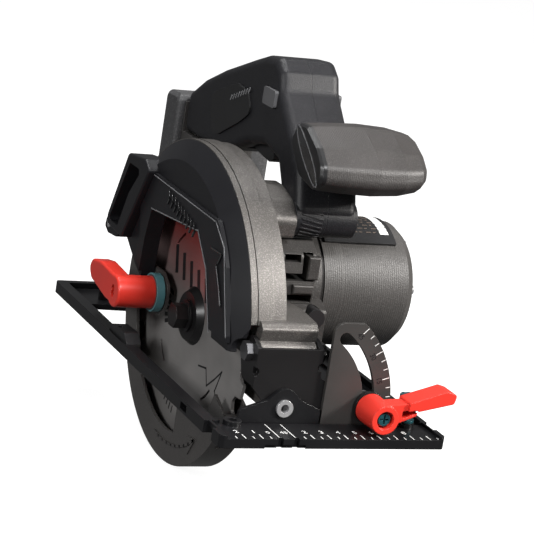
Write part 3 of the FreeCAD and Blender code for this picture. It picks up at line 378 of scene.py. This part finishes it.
def blade_print():
    """Plain bars, dashes and a zigzag printed on the blade."""
    plane = ((BLADE_FACE_X, 0, ARBOR_Z), (0, -1, 0), (0, 0, 1))
    ink = Piece("blade_print", "spindle", "ink", "black_plastic", plane)
    for k in range(5):
        a = -37.0 + 12.0 * k
        ink.bar((a, 30.0 - 1.6 * k), (a + 3.5, 18.0 - 0.9 * k), 4.2, -0.05, 0.03)
    ink.path([(18, -24), (29, -22), (33, -31), (42, -24.4), (51, -16.6), (45, -30),
              (52, -38)], 1.1, -0.05, 0.03)
    for k in range(6):
        r, t = 42.0, 174 + 5.5 * k
        a, b = polar(r, t), polar(r - (5.0 if k % 2 else 8.0), t)
        ink.bar(a, b, 2.4, -0.05, 0.03)
    for k in range(7):
        ink.bar(polar(60, -100 - 4 * k), polar(63.5, -100 - 4 * k), 1.3, -0.05, 0.03)
    ink.done()


def guard_arrow():
    """Raised rotation arrow on the lower guard."""
    p = Piece("guard_arrow", "lower_guard", "guard", "guard_grey",
              ((GUARD_FACE_X, 0, ARBOR_Z), (0, -1, 0), (0, 0, 1)))
    arc = [polar(75.0, a) for a in range(-98, -52, 5)]
    p.path(arc, 1.6, high=0.7)
    p.path([polar(79.5, -60), polar(75.0, -52), polar(70.5, -60)], 1.6, high=0.7)
    p.done()


def boss_sleeve():
    """Coloured sleeve round the boss behind the guard lever."""
    y, z, r = BOSS
    sleeve = Piece("boss_sleeve", "lower_guard", "sleeve", "guard_grey",
                   ((0, 0, 0), (1, 0, 0), (0, 1, 0)))
    ring = []
    for x, radius in ((-14.9, r + 0.1), (-14.9, r + 0.9), (-10.0, r + 0.9), (-10.0, r + 0.1)):
        row = []
        for k in range(48):
            a, b = polar(radius, 7.5 * k)
            row.append(sleeve.bm.verts.new(Vector((x, y + a, z + b)) * MM))
        ring.append(row)
    for i in range(4):
        for k in range(48):
            n = (k + 1) % 48
            sleeve.bm.faces.new((ring[i][k], ring[i][n], ring[i - 3][n], ring[i - 3][k]))
    sleeve.done()


def cap_inlay():
    """Glossy oval with a pale outline let into the end of the front handle."""
    plane = ((CAP_FACE_X, 0, 0), (0, -1, 0), (0, 0, 1))
    oval = []
    for k in range(28):
        t = 2 * math.pi * k / 28
        a, b = 20.0 * math.copysign(abs(math.cos(t)) ** 0.75, math.cos(t)), 9.0 * math.sin(t)
        oval.append((57.2 + a * 0.83 - b * 0.42, 141.0 - a * 0.52 + b * 0.86))
    inner = [(57.2 + (a - 57.2) * 0.93, 141.0 + (b - 141.0) * 0.93) for a, b in oval]
    rim = Piece("cap_outline", "head", "edge", "grey_plastic", plane)
    rim.path(oval + oval[:1], 0.7, high=0.15)
    rim.done()
    face = Piece("cap_inlay", "head", "gloss", "black_plastic", plane)
    face.prism(inner, high=0.08)
    face.done()


def motor_label():
    """Label with rows of plain dashes and a white strip on the motor panel."""
    for name, look, slot in (("label_rows", "label", "brass_part"),
                             ("label_strip", "white", "bright_steel")):
        piece = Piece(name, "head", look, slot, ((0, 0, 0), (1, 0, 0), (0, 1, 0)))
        for k in range(9):
            t = math.radians(PANEL_START + 12 + 5.2 * k)
            away = Vector((0, math.cos(t), math.sin(t)))
            middle = Vector((0, MOTOR_Y, MOTOR_Z)) + away * PANEL_R
            piece.set_plane((middle, (1, 0, 0), Vector((0, -math.sin(t), math.cos(t)))))
            if look == "white":
                piece.bar((99.0, 0), (101.5, 0), 2.9, high=0.08)
                continue
            for j in range(5):
                a = 76.0 + 4.4 * j
                piece.bar((a, 0), (a + 1.0 + 1.3 * ((k * 3 + j) % 2), 0), 0.8, high=0.08)
        piece.done()


def pad_ribs():
    """Row of small ribs on the left grip pad, light grey as painted highlight."""
    ribs = Piece("pad_ribs", "head", "edge", "soft_rubber",
                 ((PAD_FACE_X, 0, 0), (0, -1, 0), (0, 0, 1)))
    for k in range(8):
        a, b = -56.0 + 3.4 * k, 147.0 + 1.35 * k
        ribs.bar((a, b), (a + 1.2, b + 2.6), 0.8, high=0.35)
    ribs.done()


def foot_ridges():
    """Slanted ridges round the foot of the front pillar."""
    y, z, r = FOOT
    ridges = Piece("foot_ridges", "head", "shell", "black_plastic",
                   ((0, 0, 0), (1, 0, 0), (0, 1, 0)))
    for k in range(9):
        t = math.radians(150 + 14 * k)
        away = Vector((0, math.cos(t), math.sin(t)))
        ridges.set_plane((Vector((0, y, z)) + away * r, (1, 0, 0), (0, -math.sin(t), math.cos(t))))
        ridges.bar((32.0, -1.2), (44.0, 1.2), 1.0, low=-0.4, high=0.5)
    ridges.done()


shoe_scale()
quadrant_scale()
cover_detail()
blade_print()
guard_arrow()
boss_sleeve()
cap_inlay()
motor_label()
pad_ribs()
foot_ridges()


# ---- camera and light ---------------------------------------------------
def camera():
    """Long lens, low on the left front."""
    data = bpy.data.cameras.new("camera")
    data.sensor_width = CAMERA_SENSOR
    data.lens = CAMERA_LENS
    cam = bpy.data.objects.new("camera", data)
    bpy.context.scene.collection.objects.link(cam)
    right = Vector(CAMERA_RIGHT)
    up = Vector(CAMERA_UP)
    back = right.cross(up).normalized()
    up = back.cross(right).normalized()
    turn = Matrix((right.normalized(), up, back)).transposed().to_4x4()
    cam.matrix_world = Matrix.Translation(CAMERA_AT) @ turn
    data.clip_start, data.clip_end = 0.05, 20
    bpy.context.scene.camera = cam


def area(name, place, size, power, colour=(1, 1, 1)):
    """Square soft light that points at the middle of the saw."""
    data = bpy.data.lights.new(name, "AREA")
    data.energy = power
    data.size = size
    data.color = colour
    o = bpy.data.objects.new(name, data)
    bpy.context.scene.collection.objects.link(o)
    way = Vector(LIGHT_TARGET) - Vector(place)
    o.matrix_world = Matrix.Translation(place) @ way.to_track_quat("-Z", "Y").to_matrix().to_4x4()


def backdrop():
    """Plain pale floor and a bright surround that light nothing themselves."""
    dome = bmesh.new()
    bmesh.ops.create_icosphere(dome, subdivisions=4, radius=SURROUND_R)
    bmesh.ops.reverse_faces(dome, faces=dome.faces)
    disc = bmesh.new()
    bmesh.ops.create_circle(disc, cap_ends=True, segments=64, radius=FLOOR_R,
                            matrix=Matrix.Translation((0, 0, FLOOR_Z)))
    for name, shape, glow, tone in (("surround", dome, 1.0, 0.0), ("floor", disc, 0.92, 0.28)):
        mesh = bpy.data.meshes.new(name)
        shape.to_mesh(mesh)
        shape.free()
        m = bpy.data.materials.new(name)
        m.use_nodes = True
        p = m.node_tree.nodes["Principled BSDF"]
        p.inputs["Base Color"].default_value = (tone, tone, tone, 1)
        p.inputs["Roughness"].default_value = 0.9
        p.inputs["Emission Color"].default_value = (1, 1, 1, 1)
        p.inputs["Emission Strength"].default_value = glow
        mesh.materials.append(m)
        o = bpy.data.objects.new(name, mesh)
        bpy.context.scene.collection.objects.link(o)
        o.visible_diffuse = o.visible_glossy = o.visible_shadow = o.visible_transmission = False


camera()
backdrop()
area("key", (-1.0, -0.5, 0.5), 0.25, 7)
area("front", (0.1, -1.0, 1.1), 0.25, 16)
area("right", (1.1, -0.7, 0.7), 0.25, 30, colour=(1.0, 0.97, 0.93))
area("top", (0.0, 0.3, 1.2), 0.5, 10)
world = bpy.data.worlds.new("world")
bpy.context.scene.world = world
world.use_nodes = True
world.node_tree.nodes["Background"].inputs["Color"].default_value = (1, 1, 1, 1)
world.node_tree.nodes["Background"].inputs["Strength"].default_value = WORLD_STRENGTH
bpy.context.scene.view_settings.view_transform = "Standard"
